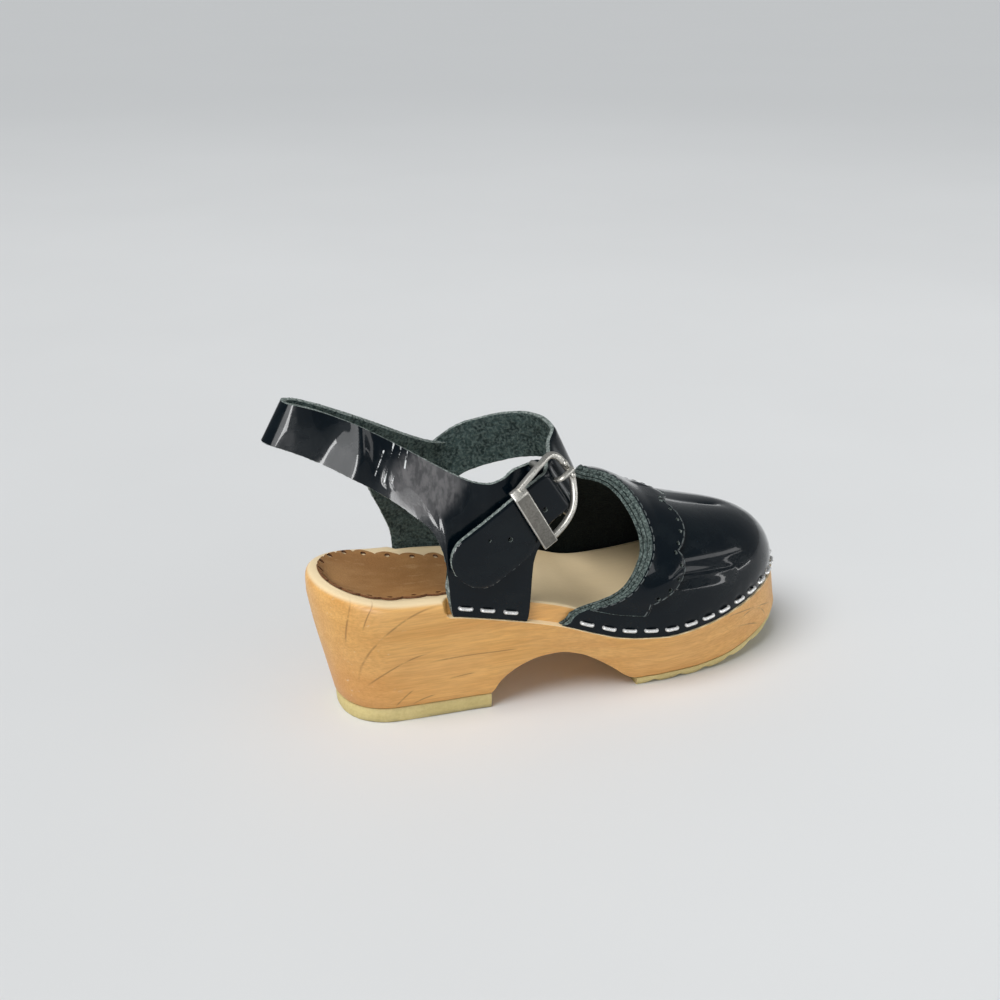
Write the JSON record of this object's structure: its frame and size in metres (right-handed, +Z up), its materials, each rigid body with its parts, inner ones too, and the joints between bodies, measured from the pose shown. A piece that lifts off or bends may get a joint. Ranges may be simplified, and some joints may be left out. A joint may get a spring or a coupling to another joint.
{
  "type": "clog sandal",
  "caption": "Child's right clog sandal: wooden heeled sole, stapled patent vamp with a scalloped throat, open heel sling and a buckled instep strap.",
  "frame": {"origin": "middle of the heel lift's flat underside, on the floor", "axes": "+X from heel to toe, -Y the outer side of the foot where the buckle is, +Y the inner side, +Z up"},
  "size_m": [0.2007, 0.0719, 0.1177],
  "materials": {
    "wood": "pale oiled hardwood",
    "rubber": "matte pale gum rubber",
    "pad_leather": "smooth brown lining leather",
    "patent_leather": "glossy black patent with a cold tint",
    "pewter": "antique pewter plating",
    "staple_steel": "bright wire"
  },
  "bodies": {
    "root": {"wooden_sole": "wood", "heel_lift": "rubber", "forefoot_outsole": "rubber", "heel_pad": "pad_leather", "vamp": "patent_leather", "throat_overlay": "patent_leather", "ankle_straps": "patent_leather", "buckle_frame": "pewter", "buckle_prong": "pewter", "vamp_staple_01": "staple_steel", "vamp_staple_02": "staple_steel", "vamp_staple_03": "staple_steel", "vamp_staple_04": "staple_steel", "vamp_staple_05": "staple_steel", "vamp_staple_06": "staple_steel", "vamp_staple_07": "staple_steel", "vamp_staple_08": "staple_steel", "vamp_staple_09": "staple_steel", "vamp_staple_10": "staple_steel", "vamp_staple_11": "staple_steel", "vamp_staple_12": "staple_steel", "vamp_staple_13": "staple_steel", "vamp_staple_14": "staple_steel", "vamp_staple_15": "staple_steel", "vamp_staple_16": "staple_steel", "vamp_staple_17": "staple_steel", "vamp_staple_18": "staple_steel", "vamp_staple_19": "staple_steel", "vamp_staple_20": "staple_steel", "vamp_staple_21": "staple_steel", "vamp_staple_22": "staple_steel", "vamp_staple_23": "staple_steel", "vamp_staple_24": "staple_steel", "vamp_staple_25": "staple_steel", "vamp_staple_26": "staple_steel", "vamp_staple_27": "staple_steel", "vamp_staple_28": "staple_steel", "outer_tab_staple_1": "staple_steel", "outer_tab_staple_2": "staple_steel", "outer_tab_staple_3": "staple_steel", "inner_tab_staple_1": "staple_steel", "inner_tab_staple_2": "staple_steel", "inner_tab_staple_3": "staple_steel"}
  },
  "joints": []
}
